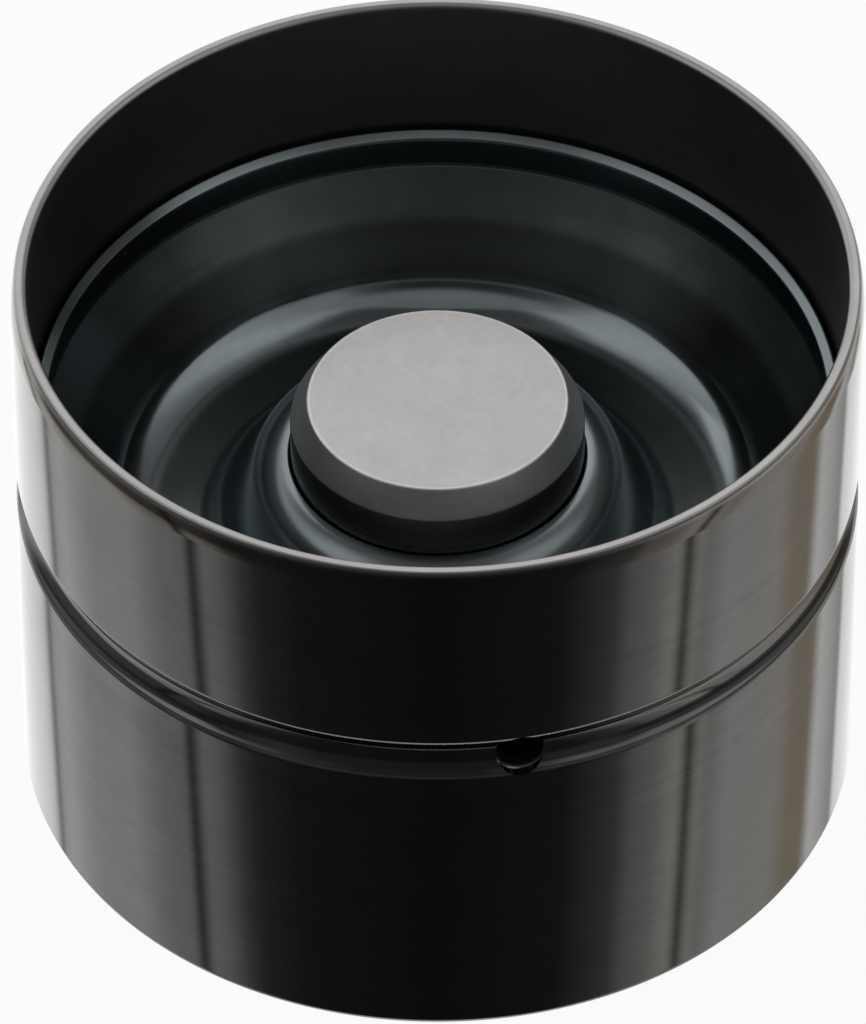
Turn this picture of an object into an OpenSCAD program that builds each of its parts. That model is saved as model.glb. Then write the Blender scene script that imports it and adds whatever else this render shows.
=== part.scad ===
// Hydraulic bucket lifter for an overhead-cam engine, standing on its cam face with the open skirt up.
// Millimetres. Z is the lifter's axis, z = 0 is the cam face, and +Z points to the valve.

/* [Bucket] */
// Outside diameter, a sliding fit in the cylinder head
bucket_d = 35; // [32:0.5:38]
// Height from the cam face to the rim
bucket_h = 26; // [25:0.5:30]
// Thickness of the cam face
base_t = 2.6; // [2.2:0.1:3.2]
// Wall of the skirt above the guide
skirt_wall = 0.7; // [0.6:0.05:0.9]
// Wall below the guide's seat
lower_wall = 1.2; // [1.1:0.05:1.3]
// Rounding of the cam face's edge
cam_edge_r = 0.5; // [0.2:0.1:1.2]
// Height of the lead-in taper below the rim
rim_taper_h = 0.95; // [0.4:0.05:1.5]
// How far the lead-in taper comes in at the rim
rim_taper_w = 0.3; // [0.1:0.05:0.4]

/* [Oil supply] */
// Width of the oil groove
groove_w = 1.95; // [1.2:0.05:2.4]
// Depth of the oil groove
groove_d = 0.4; // [0.2:0.05:0.6]
// Height of the groove's middle
groove_z = 15.5; // [10:0.1:15.6]
// Diameter of the oil feed hole in the groove
feed_d = 1.9; // [1:0.1:2]
// Width of the broken edge round that hole
feed_edge = 0.12; // [0.05:0.01:0.2]
// Width of the oil overflow channel under the piston
overflow_w = 2.4; // [1.5:0.1:3.5]
// Depth of that channel
overflow_d = 0.6; // [0.3:0.1:1]

/* [Guide] */
// Thickness of the guide's drawn sheet
sheet_t = 0.5; // [0.4:0.05:0.6]
// Height of the top of the guide's outer flange
flange_top_z = 19.3; // [18.8:0.1:20.5]
// Height where the flange bends into the web, at the middle of the sheet
web_edge_z = 17.4; // [17.2:0.1:18]
// Rounding of the lip inside the flange's top
flange_lip_r = 0.45; // [0.2:0.05:0.45]
// Radius where the web's slope meets the trough's floor, at the middle of the sheet
trough_r = 13; // [12.4:0.1:13.6]
// Height of the trough's floor
trough_z = 12.4; // [11.8:0.1:13]
// Inside radius of the bend between the web and the floor
trough_bend = 2.4; // [1.2:0.1:3]
// Radius of the hub's foot in the trough, at the middle of the sheet
hub_foot_r = 9; // [8.6:0.1:9.4]
// Inside radius of the bend at the hub's foot
hub_foot_bend = 1.3; // [0.6:0.1:1.5]
// Height of the hub's top
hub_top_z = 16.2; // [15.4:0.1:17]

/* [Plunger] */
// Outside diameter of the inner housing
housing_d = 12.2; // [11.4:0.1:12.6]
// Height of its valve face when it is fully out
face_z = 19.2; // [18.6:0.1:21]
// Diameter of the ground valve face
face_d = 10.8; // [9:0.1:11]
// Height of the chamfer round the valve face
face_chamfer_h = 1.1; // [0.4:0.1:1.6]
// Thickness of the end wall behind the valve face
end_wall = 2.2; // [1.6:0.1:2.6]
// Bore for the piston
bore_d = 9; // [8.6:0.1:9.4]
// How far the plunger can be pushed in
stroke = 2.5; // [1.5:0.1:2.8]
// Wire of the retaining ring
ring_wire = 0.8; // [0.6:0.05:0.9]

/* [Piston and check valve] */
// Length of the piston
piston_l = 7.6; // [7:0.1:7.8]
// Bore of the oil store in the piston
store_d = 6; // [5:0.1:6.4]
// Thickness of the piston's crown
crown_t = 2; // [1.6:0.1:2.6]
// Diameter of the check ball
ball_d = 3.5; // [3:0.1:3.8]
// Diameter of the port that the ball closes
port_d = 2.3; // [1.8:0.1:2.4]
// How far the ball lifts off its seat
ball_lift = 0.3; // [0.2:0.05:0.4]
// Sheet of the ball cage
cage_t = 0.35; // [0.25:0.05:0.4]
// Oil windows round the cage
cage_windows = 3; // [3:1:4]

/* [Springs] */
// Wire of the return spring
return_wire = 0.7; // [0.5:0.05:0.75]
// Mean diameter of the return spring
return_d = 6.7; // [6.4:0.1:7]
// Active turns of the return spring
return_turns = 2.5; // [2:0.5:3]
// Wire of the ball spring
ball_wire = 0.2; // [0.15:0.01:0.22]
// Mean diameter of the ball spring
ball_spring_d = 2; // [1.8:0.1:2.2]
// Active turns of the ball spring
ball_turns = 2; // [1.5:0.5:2]

/* [Hidden] */

// Gaps between pieces
press_gap = 0.01;      // pressed together
face_gap = 0.02;       // end faces that rest on each other
slide_gap = 0.03;      // radial, between sliding pieces
bottom_gap = 0.3;      // left below the plunger when it is fully in

// Bucket
bucket_r = bucket_d / 2;
skirt_r = bucket_r - skirt_wall;
lower_r = bucket_r - lower_wall;
groove_r = (pow(groove_w / 2, 2) + pow(groove_d, 2)) / (2 * groove_d);
groove_half_angle = asin(groove_w / 2 / groove_r);

// Plunger
housing_r = housing_d / 2;
bore_r = bore_d / 2;
housing_z = base_t + stroke + bottom_gap;
chamber_z = face_z - end_wall;
ring_gap = 0.04;
stop_ring_z = housing_z + 0.6 + ring_wire / 2;
stop_ring_r = housing_r - 0.05;

// Guide: its web lies on a cone turned in the bucket, and the retaining ring stops against its sleeve
flange_r = skirt_r - press_gap - sheet_t / 2;
floor_mid_z = trough_z - sheet_t / 2;
web_slope = (web_edge_z - floor_mid_z) / (flange_r - trough_r);
sleeve_r = housing_r + slide_gap;
sleeve_z = stop_ring_z + ring_wire / 2 + face_gap;
function seat_height(r) =
    web_edge_z - (flange_r - r) * web_slope - sheet_t / 2 * norm([1, web_slope]) - face_gap;

// Piston and check valve
piston_r = bore_r - slide_gap;
crown_z = base_t + piston_l;
port_r = port_d / 2;
ball_r = ball_d / 2;
seat_r = ball_r;
ball_contact = ball_r * sin(45);
ball_z = crown_z - (seat_r - ball_contact) + ball_contact + face_gap;
cage_in_r = ball_r + 0.2;
cage_flange_r = bore_r - 0.3;
ball_spring_gap = 0.5;
cage_top_z = ball_z + ball_r + ball_lift + ball_spring_gap;

// Springs
return_z = crown_z + cage_t + face_gap;
return_l = chamber_z - face_gap - return_z;
ball_spring_r = ball_spring_d / 2;
ball_cap_r = ball_spring_r - ball_wire / 2;
ball_spring_z = ball_z + sqrt(pow(ball_r + face_gap, 2) - pow(ball_cap_r, 2));
ball_spring_l = cage_top_z - face_gap - ball_spring_z;

steel = [0.16, 0.16, 0.165];
blued = [0.12, 0.14, 0.15];
ground = [0.62, 0.62, 0.62];
spring_steel = [0.5, 0.5, 0.52];

turn_fn = 96;
arc_step = 12;

// Unit vector from a to b
function heading(a, b) = (b - a) / norm(b - a);
function xy(p) = [p[0], p[1]];

// Points of the arc of radius p[2] that rounds the corner p between its neighbours a and b
function corner_arc(a, p, b) =
    let(u = heading(xy(p), xy(a)),
        w = heading(xy(p), xy(b)),
        half = acos(max(-1, min(1, u * w))) / 2,
        turn = 90 - half)
    p[2] <= 0 || turn < 0.5 ? [xy(p)] :
    let(centre = xy(p) + heading([0, 0], u + w) * p[2] / sin(half),
        steps = max(2, ceil(2 * turn / arc_step)),
        from = xy(p) + u * p[2] / tan(half) - centre,
        side = sign(u[0] * w[1] - u[1] * w[0]))
    [for (i = [0 : steps])
        let(a = -side * 2 * turn * i / steps)
        centre + [from[0] * cos(a) - from[1] * sin(a), from[0] * sin(a) + from[1] * cos(a)]];

// Outline through corners [r, z, rounding]; the first and last corners stay sharp
function rounded(corners) =
    [for (i = [0 : len(corners) - 1])
        let(p = corners[i])
        each (i == 0 || i == len(corners) - 1 ? [xy(p)] : corner_arc(corners[i - 1], p, corners[i + 1]))];

// Corners of a path moved sideways by d, with each rounding adjusted to stay concentric
function moved_path(path, d) =
    [for (i = [0 : len(path) - 1])
        let(p = path[i],
            u = i > 0 ? heading(xy(path[i - 1]), xy(p)) : heading(xy(p), xy(path[i + 1])),
            w = i < len(path) - 1 ? heading(xy(p), xy(path[i + 1])) : u,
            out = heading([0, 0], [-u[1] - w[1], u[0] + w[0]]),
            bend = u[0] * w[1] - u[1] * w[0],
            reach = d / (out * [-u[1], u[0]]),
            q = xy(p) + out * reach)
        [q[0], q[1], p[2] > 0 ? max(0.05, p[2] - sign(bend) * d) : 0]];

// Section of a sheet of thickness t along a path of bends
function sheet_section(path, t) =
    let(left = rounded(moved_path(path, t / 2)),
        right = rounded(moved_path(path, -t / 2)))
    concat(left, [for (i = [len(right) - 1 : -1 : 0]) right[i]]);

// Solid turned from a section
module turned(section) {
    rotate_extrude($fn = turn_fn) polygon(section);
}

// Coil spring of length l standing on z, with closed and ground ends
function coil_turns(active) = active + 2;
function coil_height(u, active, wire, l) =
    let(closed = wire * 1.05,
        rise = l - wire * 0.7 - 2 * closed)
    u < 1 ? closed * u :
    u > active + 1 ? closed + rise + closed * (u - active - 1) :
    closed + rise * (u - 1) / active;

module coil_spring(r, wire, active, l, z, sides, steps) {
    rings = round(coil_turns(active) * steps);
    points = [for (i = [0 : rings], k = [0 : sides - 1])
        let(u = i / steps,
            a = 360 * u,
            b = 360 * (k + 0.5) / sides,
            rr = r + wire / 2 * cos(b),
            h = wire * 0.35 + coil_height(u, active, wire, l) + wire / 2 * sin(b))
        [rr * cos(a), rr * sin(a), z + max(0, min(l, h))]];
    sidewalls = [for (i = [0 : rings - 1], k = [0 : sides - 1])
        let(n = (k + 1) % sides)
        each [[i * sides + k, i * sides + n, (i + 1) * sides + n],
              [i * sides + k, (i + 1) * sides + n, (i + 1) * sides + k]]];
    caps = [[for (k = [sides - 1 : -1 : 0]) k], [for (k = [0 : sides - 1]) rings * sides + k]];
    polyhedron(points, concat(sidewalls, caps), convexity = 6);
}

// Outer housing: cam face, skirt, oil groove and feed hole
module bucket() {
    taper_r = bucket_r - rim_taper_w;
    groove_centre = bucket_r - groove_d + groove_r;
    groove_steps = ceil(2 * groove_half_angle / arc_step);
    color(steel) difference() {
        turned(rounded([
            [0, 0, 0],
            [bucket_r, 0, cam_edge_r],
            for (i = [0 : groove_steps])
                let(a = groove_half_angle * (2 * i / groove_steps - 1))
                [groove_centre - groove_r * cos(a), groove_z + groove_r * sin(a), 0],
            [bucket_r, bucket_h - rim_taper_h, 0],
            [taper_r, bucket_h, 0.12],
            [skirt_r, bucket_h, 0.12],
            [skirt_r, seat_height(skirt_r), 0],
            [lower_r, seat_height(lower_r), 0],
            [lower_r, base_t, 1.2],
            [0, base_t, 0]]));
        feed_hole();
        overflow_channel();
    }
}

// Oil feed hole in the groove, with its edge broken at the groove's floor
module feed_hole() {
    floor_r = bucket_r - groove_d;
    mouth_d = feed_d + 2 * feed_edge;
    translate([0, 0, groove_z]) rotate([90, 0, 0]) {
        cylinder(d = feed_d, h = floor_r, $fn = 32);
        translate([0, 0, floor_r - feed_edge]) cylinder(d1 = feed_d, d2 = mouth_d, h = feed_edge, $fn = 32);
        translate([0, 0, floor_r]) cylinder(d = mouth_d, h = groove_d + 1, $fn = 32);
    }
}

// Shallow channel in the base that lets oil pass under the piston's rim
module overflow_channel() {
    inner = store_d / 2 - overflow_w / 2 - 0.3;
    outer = housing_r + overflow_w / 2 + 0.6;
    translate([0, 0, base_t - overflow_d]) {
        for (x = [inner, outer]) translate([x, 0, 0]) cylinder(d = overflow_w, h = overflow_d + 1, $fn = 32);
        translate([inner, -overflow_w / 2, 0]) cube([outer - inner, overflow_w, overflow_d + 1]);
    }
}

// Drawn sheet guide: flange, sloping web, trough, hub, and the sleeve folded down inside it for the plunger
module guide() {
    mid = sheet_t / 2;
    tube_r = sleeve_r + mid;
    fold_r = mid + 0.05;
    lip = [flange_r - mid, flange_top_z];
    spare = 0.2;
    path = [
        [flange_r, flange_top_z, 0],
        [flange_r, web_edge_z, mid + 0.3],
        [trough_r, floor_mid_z, trough_bend + mid],
        [hub_foot_r, floor_mid_z, mid + hub_foot_bend],
        [tube_r + 2 * fold_r, hub_top_z - mid, fold_r],
        [tube_r, hub_top_z - mid, fold_r],
        [tube_r, sleeve_z, 0]];
    color(blued) difference() {
        turned(sheet_section(path, sheet_t));
        turned(concat(
            corner_arc(lip - [0, 1], [lip[0], lip[1], flange_lip_r], lip + [1, 0]),
            [lip + [flange_lip_r, spare], lip + [-spare, spare], lip - [spare, flange_lip_r]]));
    }
}

// Inner housing: the cup that bears on the valve stem
module inner_housing() {
    groove_half = ring_wire / 2 + ring_gap;
    groove_r = stop_ring_r - ring_wire / 2 - ring_gap;
    color(ground) turned(rounded([
        [0, face_z, 0],
        [face_d / 2, face_z, 0.1],
        [housing_r, face_z - face_chamfer_h, 0.25],
        [housing_r, stop_ring_z + groove_half, 0],
        [groove_r, stop_ring_z + groove_half, 0],
        [groove_r, stop_ring_z - groove_half, 0],
        [housing_r, stop_ring_z - groove_half, 0],
        [housing_r, housing_z, 0.15],
        [bore_r, housing_z, 0.15],
        [bore_r, chamber_z, 0.4],
        [0, chamber_z, 0]]));
}

// Open wire ring that keeps the inner housing in the guide
module retaining_ring() {
    gap_angle = 24;
    color(spring_steel) translate([0, 0, stop_ring_z]) rotate([0, 0, 90 + gap_angle / 2])
        rotate_extrude(angle = 360 - gap_angle, $fn = turn_fn)
            translate([stop_ring_r, 0]) circle(d = ring_wire, $fn = 24);
}

// Piston: stands on the cam face, holds an oil store and the check valve's seat
module piston() {
    color(ground) turned(rounded([
        [store_d / 2, base_t + face_gap, 0],
        [piston_r, base_t + face_gap, 0.3],
        [piston_r, crown_z, 0.3],
        [seat_r, crown_z, 0],
        [port_r, crown_z - (seat_r - port_r), 0],
        [port_r, crown_z - crown_t, 0],
        [store_d / 2, crown_z - crown_t - (store_d / 2 - port_r) * 0.6, 0.3],
        [store_d / 2, base_t + face_gap, 0]]));
}

// Stamped cage that holds the ball and its spring over the port
module ball_cage() {
    mid = cage_t / 2;
    vent_r = 0.5;
    window_w = 1.5;
    window_z = crown_z + cage_t + 0.35;
    path = [
        [cage_flange_r, crown_z + face_gap / 2 + mid, 0],
        [cage_in_r + mid, crown_z + face_gap / 2 + mid, 0.3],
        [cage_in_r + mid, cage_top_z + mid, 0.4],
        [vent_r, cage_top_z + mid, 0]];
    color(spring_steel) difference() {
        turned(sheet_section(path, cage_t));
        for (i = [0 : cage_windows - 1]) rotate([0, 0, 360 * i / cage_windows])
            translate([0, -window_w / 2, window_z]) cube([cage_flange_r, window_w, cage_top_z - window_z - 0.6]);
    }
}

module check_ball() {
    color(ground) translate([0, 0, ball_z]) sphere(r = ball_r, $fn = 64);
}

module return_spring() {
    color(spring_steel)
        coil_spring(return_d / 2, return_wire, return_turns, return_l, return_z, 10, 28);
}

module ball_spring() {
    color(spring_steel)
        coil_spring(ball_spring_r, ball_wire, ball_turns, ball_spring_l, ball_spring_z, 8, 24);
}

bucket();
guide();
inner_housing();
retaining_ring();
return_spring();
piston();
ball_cage();
check_ball();
ball_spring();
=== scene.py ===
"""Looks of a hydraulic bucket lifter that stands on its cam face with the open skirt up.

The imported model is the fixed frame. Each piece is turned, bent or coiled again with finer roundings,
takes the place of its solid, and gets a procedural steel finish. Sizes in the classes are millimetres.
"""

from __future__ import annotations

import logging
import math
from dataclasses import dataclass
from enum import Enum
from typing import Any, Sequence

import bmesh
import bpy
from mathutils import Matrix, Vector

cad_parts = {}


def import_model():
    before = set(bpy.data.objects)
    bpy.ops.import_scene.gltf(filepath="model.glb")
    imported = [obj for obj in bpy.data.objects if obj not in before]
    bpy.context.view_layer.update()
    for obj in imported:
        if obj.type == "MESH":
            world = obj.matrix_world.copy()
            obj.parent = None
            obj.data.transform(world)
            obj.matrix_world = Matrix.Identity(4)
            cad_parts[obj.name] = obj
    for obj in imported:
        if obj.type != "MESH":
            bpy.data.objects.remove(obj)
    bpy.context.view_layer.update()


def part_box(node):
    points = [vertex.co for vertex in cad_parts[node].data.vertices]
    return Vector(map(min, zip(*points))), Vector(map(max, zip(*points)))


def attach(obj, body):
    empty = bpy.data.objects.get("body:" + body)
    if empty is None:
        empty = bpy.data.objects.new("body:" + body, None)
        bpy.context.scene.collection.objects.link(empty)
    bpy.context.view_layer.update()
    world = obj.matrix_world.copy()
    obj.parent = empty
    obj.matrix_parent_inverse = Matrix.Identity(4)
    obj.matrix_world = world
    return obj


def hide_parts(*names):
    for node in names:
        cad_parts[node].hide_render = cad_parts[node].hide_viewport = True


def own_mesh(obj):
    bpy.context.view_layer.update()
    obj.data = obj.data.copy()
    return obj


log = logging.getLogger("lifter")

MM = 0.001
SPIN_STEPS = 240
SMALL_SPIN_STEPS = 144
ROUNDING_STEP = math.radians(6)
SHARP_ANGLE = math.radians(14)
MERGE_DISTANCE = 2e-7
LEAST_ROUNDING = 0.05
COIL_STEPS = 48
COIL_END_PITCH = 1.05
COIL_GROUND_SHARE = 0.35
WARM_RED = 0.16
WARM_BLUE = 0.2

Pair = tuple[float, float]
Color = tuple[float, float, float]
Mesh = bmesh.types.BMesh
Piece = bpy.types.Object
WHITE: Color = (1.0, 1.0, 1.0)


def gray(level: float) -> Color:
    """A neutral colour."""
    return level, level, level


class Value:
    """A shader socket that can be used in arithmetic; each operation adds a Math node."""

    def __init__(self, graph: Graph, socket: bpy.types.NodeSocket) -> None:
        """Keep the socket and the graph that it belongs to."""
        self.graph = graph
        self.socket = socket

    def _math(self, operation: str, *operands: Value | float) -> Value:
        """Add one Math node.

        Args:
            operation: The Math node's operation.
            operands: Its inputs, in order.

        Returns:
            The node's output.
        """
        return self.graph.add("Math", {"operation": operation}, dict(enumerate(operands)))

    def __add__(self, other: Value | float) -> Value:
        """Sum."""
        return self._math("ADD", self, other)

    __radd__ = __add__

    def __sub__(self, other: Value | float) -> Value:
        """Difference."""
        return self._math("SUBTRACT", self, other)

    def __rsub__(self, other: float) -> Value:
        """Difference from a number."""
        return self._math("SUBTRACT", other, self)

    def __mul__(self, other: Value | float) -> Value:
        """Product."""
        return self._math("MULTIPLY", self, other)

    __rmul__ = __mul__

    def __truediv__(self, other: float) -> Value:
        """Quotient."""
        return self._math("DIVIDE", self, other)

    def __pow__(self, other: float) -> Value:
        """Power."""
        return self._math("POWER", self, other)

    def angle_from(self, other: Value) -> Value:
        """Angle in radians whose sine side is this value and whose cosine side is the other."""
        return self._math("ARCTAN2", self, other)

    def step(self, low: float, high: float) -> Value:
        """Smooth step from 0 at low to 1 at high; falls from 1 to 0 where low is the greater."""
        if low > high:
            return 1.0 - self.step(high, low)
        inputs = {"Value": self, "From Min": low, "From Max": high}
        return self.graph.add("MapRange", {"interpolation_type": "SMOOTHSTEP"}, inputs)

    def band(self, low: float, high: float, soft: float) -> Value:
        """Mask that is 1 between low and high and fades over soft on both sides."""
        return self.step(low - soft, low + soft) * self.step(high + soft, high - soft)


class Graph:
    """A node tree that is being filled."""

    def __init__(self, tree: bpy.types.NodeTree) -> None:
        """Start from an empty tree."""
        self.tree = tree
        tree.nodes.clear()

    def add(
        self,
        kind: str,
        settings: dict[str, Any] | None = None,
        inputs: dict[str | int, Any] | None = None,
        output: str | int = 0,
    ) -> Value:
        """Add a node.

        Args:
            kind: The shader node's type, without that prefix.
            settings: Properties that are set first; "stops" fills a colour ramp.
            inputs: Values or links of its sockets, by name or place.
            output: The output that is returned.

        Returns:
            The named output.
        """
        node = self.tree.nodes.new("ShaderNode" + kind)
        for name, setting in (settings or {}).items():
            if name == "stops":
                self._fill_ramp(node.color_ramp, setting)
            else:
                setattr(node, name, setting)
        for name, given in (inputs or {}).items():
            self._feed(node.inputs[name], given)
        return Value(self, node.outputs[output] if len(node.outputs) else None)

    @staticmethod
    def _fill_ramp(ramp: bpy.types.ColorRamp, stops: Sequence[tuple[float, Color]]) -> None:
        """Give a ramp its stops, each a place and a colour."""
        while len(ramp.elements) > 1:
            ramp.elements.remove(ramp.elements[-1])
        ramp.elements[0].position = stops[0][0]
        ramp.elements[0].color = (*stops[0][1], 1.0)
        for place, color in stops[1:]:
            ramp.elements.new(place).color = (*color, 1.0)

    def _feed(self, socket: bpy.types.NodeSocket, given: Any) -> None:
        """Link a value to a socket, or set the socket's own value."""
        if isinstance(given, Value):
            self.tree.links.new(given.socket, socket)
        elif socket.type == "RGBA" and len(given) == 3:
            socket.default_value = (*given, 1.0)
        else:
            socket.default_value = given

    def axes(self, vector: Value) -> tuple[Value, Value, Value]:
        """The three parts of a vector."""
        parts = self.add("SeparateXYZ", {}, {0: vector})
        x, y, z = (Value(self, socket) for socket in parts.socket.node.outputs)
        return x, y, z

    def turned_place(self) -> tuple[Value, Value, Value, Value]:
        """Object coordinates of the shaded point on a turned piece.

        Returns:
            The coordinates as a vector, the distance from the axis and the height, both in millimetres,
            and the angle round the axis in radians.
        """
        place = self.add("TexCoord", {}, {}, "Object")
        x, y, z = self.axes(place)
        radius = ((x * x + y * y) ** 0.5) / MM
        return place, radius, z / MM, y.angle_from(x)

    def noise(self, place: Value, scale: tuple[float, float, float], detail: float = 3.0) -> Value:
        """Smooth noise between 0 and 1.

        Args:
            place: Where it is read.
            scale: Waves per metre along each axis.
            detail: Octaves.

        Returns:
            The noise.
        """
        stretched = self.add("Mapping", {}, {"Vector": place, "Scale": scale})
        inputs = {"Vector": stretched, "Scale": 1.0, "Detail": detail, "Roughness": 0.6}
        return self.add("TexNoise", {}, inputs)

    def mix(self, factor: Value | float, first: Value | Color, second: Value | Color) -> Value:
        """Mix of two colours."""
        return self.add("Mix", {"data_type": "RGBA"}, {"Factor": factor, 6: first, 7: second}, 2)

    def tinted(self, color: Value | Color, amount: Value) -> Value:
        """A colour made lighter or darker by a factor."""
        amounts = self.add("CombineXYZ", {}, {"X": amount, "Y": amount, "Z": amount})
        settings = {"data_type": "RGBA", "blend_type": "MULTIPLY"}
        return self.add("Mix", settings, {"Factor": 1.0, 6: color, 7: amounts}, 2)

    def bump(self, height: Value, distance: float) -> Value:
        """Normal that follows a height, with the relief's distance in metres."""
        return self.add("Bump", {}, {"Height": height, "Distance": distance})


@dataclass(frozen=True)
class SteelFinish:
    """What all the steels share.

    Attributes:
        name: The material's name.
        slot: Name of a material slot; not used.
        color: Colour of the bare finish.
        roughness: Mean roughness.
    """

    name: str
    slot: str
    color: Color
    roughness: float

    def material(self) -> bpy.types.Material:
        """Make the material.

        Returns:
            A node material.
        """
        made = bpy.data.materials.new(self.name)
        made.use_nodes = True
        graph = Graph(made.node_tree)
        color, roughness, normal = self.surface(graph)
        inputs = {"Base Color": color, "Roughness": roughness, "Metallic": 1.0, "Normal": normal}
        shader = graph.add("BsdfPrincipled", {}, inputs)
        graph.add("OutputMaterial", {}, {"Surface": shader})
        return made

    def surface(self, graph: Graph) -> tuple[Value, Value, Value]:
        """Colour, roughness and normal of the finish; each finish has its own."""
        raise NotImplementedError


@dataclass(frozen=True)
class BlackSteel(SteelFinish):
    """Blackened bucket: finely ground outside, matt black inside, bare on the rim's ground edge.

    Attributes:
        rim_z: Height of the rim.
        taper_z: Height where the rim's taper starts.
        skirt_r: Inside radius of the skirt.
        groove_edges: Heights of the groove's edges, bare from wear and lightened as painted highlight
            lines.
        feed: Height and radius of the oil feed hole, whose wall gets painted shade.
        bare: Colour of the ground edge.
        warm: Colour of the taper.
        inside: Colour of the inner wall.
        hole_shade: Colour of the painted shade on the feed hole's wall.
    """

    rim_z: float
    taper_z: float
    skirt_r: float
    groove_edges: Pair
    feed: Pair
    bare: Color = (0.45, 0.445, 0.435)
    warm: Color = (0.21, 0.19, 0.165)
    inside: Color = (0.19, 0.184, 0.178)
    hole_shade: Color = (0.05, 0.049, 0.048)

    def surface(self, graph: Graph) -> tuple[Value, Value, Value]:
        """Grinding lines run round the wall; the rim's edge is bare."""
        place, radius, height, _ = graph.turned_place()
        lines = graph.noise(place, (60.0, 60.0, 9000.0))
        coarse = graph.noise(place, (25.0, 25.0, 2600.0), 2.0)
        mottle = graph.noise(place, (420.0, 420.0, 420.0), 4.0)
        within = radius.step(self.skirt_r + 0.05, self.skirt_r + 0.01)
        edge = height.step(self.rim_z - 0.34, self.rim_z - 0.1) * (1.0 - within)
        taper = height.step(self.taper_z - 0.03, self.taper_z + 0.03) * (1.0 - within)
        color = graph.mix(taper * 0.8, self.color, self.warm)
        color = graph.mix(within, color, self.inside)
        color = graph.mix(edge, color, self.bare)
        # The groove's edges get the bare colour: wear, and also a painted highlight line along each edge.
        low_edge, high_edge = (height.band(at - 0.06, at + 0.06, 0.04) for at in self.groove_edges)
        wear_and_highlight = (low_edge + high_edge) * (1.0 - within) * (0.3 + mottle * 0.6)
        color = graph.mix(wear_and_highlight, color, self.bare)
        # Painted shade: the feed hole's wall gets a dark colour and more roughness.
        x, y, _ = graph.axes(place)
        off_axis = ((x / MM) ** 2.0 + (height - self.feed[0]) ** 2.0) ** 0.5
        hole_shade = off_axis.step(self.feed[1] + 0.08, self.feed[1] + 0.04) * y.step(0.0, -MM)
        color = graph.mix(hole_shade, color, self.hole_shade)
        color = graph.tinted(color, 0.62 + mottle * 0.3 + lines * 0.26 + coarse * 0.2)
        roughness = self.roughness + (lines - 0.5) * 0.06 + within * (0.28 + mottle * 0.1)
        roughness = roughness + edge * 0.26 + wear_and_highlight * 0.45 + hole_shade * 0.4
        return color, roughness, graph.bump(lines * 0.6 + coarse * 0.4, distance=8e-7)


@dataclass(frozen=True)
class DrawnSteel(SteelFinish):
    """Dark blue-grey drawn sheet with faint round draw lines, burnished where the die bends it.

    Attributes:
        flange_r: Inside radius of the upright flange, which gets painted shade.
        flange_z: Lowest and highest heights of the flange below its lip.
        burnished: Inner and outer radius of the burnished bend in the trough.
        dark: Inner and outer radius of the painted shade on the sheet on both sides of that bend.
        shine: How much smoother the bend is.
        lip_shade_angles: First and last angle of the stretch where the lip gets painted shade, in radians.
    """

    flange_r: float
    flange_z: Pair
    burnished: Pair
    dark: Pair
    shine: float = 0.13
    lip_shade_angles: Pair = (2.15, 2.75)

    def surface(self, graph: Graph) -> tuple[Value, Value, Value]:
        """Draw lines follow the distance from the axis and the height."""
        place, radius, height, angle = graph.turned_place()
        rings = graph.add("CombineXYZ", {}, {"X": radius, "Y": height, "Z": angle})
        lines = graph.noise(rings, (5.0, 5.0, 0.6))
        bands = graph.noise(rings, (1.3, 1.3, 0.8))
        mottle = graph.noise(place, (420.0, 420.0, 420.0), 4.0)
        # Painted shade: the upright flange below the lip is darkened.
        upright = radius.step(self.flange_r - 0.45, self.flange_r - 0.35)
        upright = upright * height.band(*self.flange_z, 0.08)
        bent = radius.band(*self.burnished, 0.3)
        # Painted shade: along one stretch of angles the lip is darkened.
        lip_shade = height.step(self.flange_z[1], self.flange_z[1] + 0.1) * angle.band(*self.lip_shade_angles, 0.12)
        # Painted shade: the web and the floor on both sides of the burnished bend are darkened.
        dark = radius.band(*self.dark, 0.2) * (1.0 - radius.band(*self.burnished, 0.12))
        shade = (1.0 - upright * 0.5) * (1.0 - lip_shade * 0.7) * (1.0 - dark * 0.55)
        color = graph.tinted(self.color, (0.56 + mottle * 0.4 + bands * 0.48) * shade)
        roughness = self.roughness - bent * self.shine + (mottle - 0.5) * 0.12 + (lines - 0.5) * 0.05
        return color, roughness, graph.bump(lines * 0.5 + mottle * 0.5, distance=2e-6)


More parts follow.
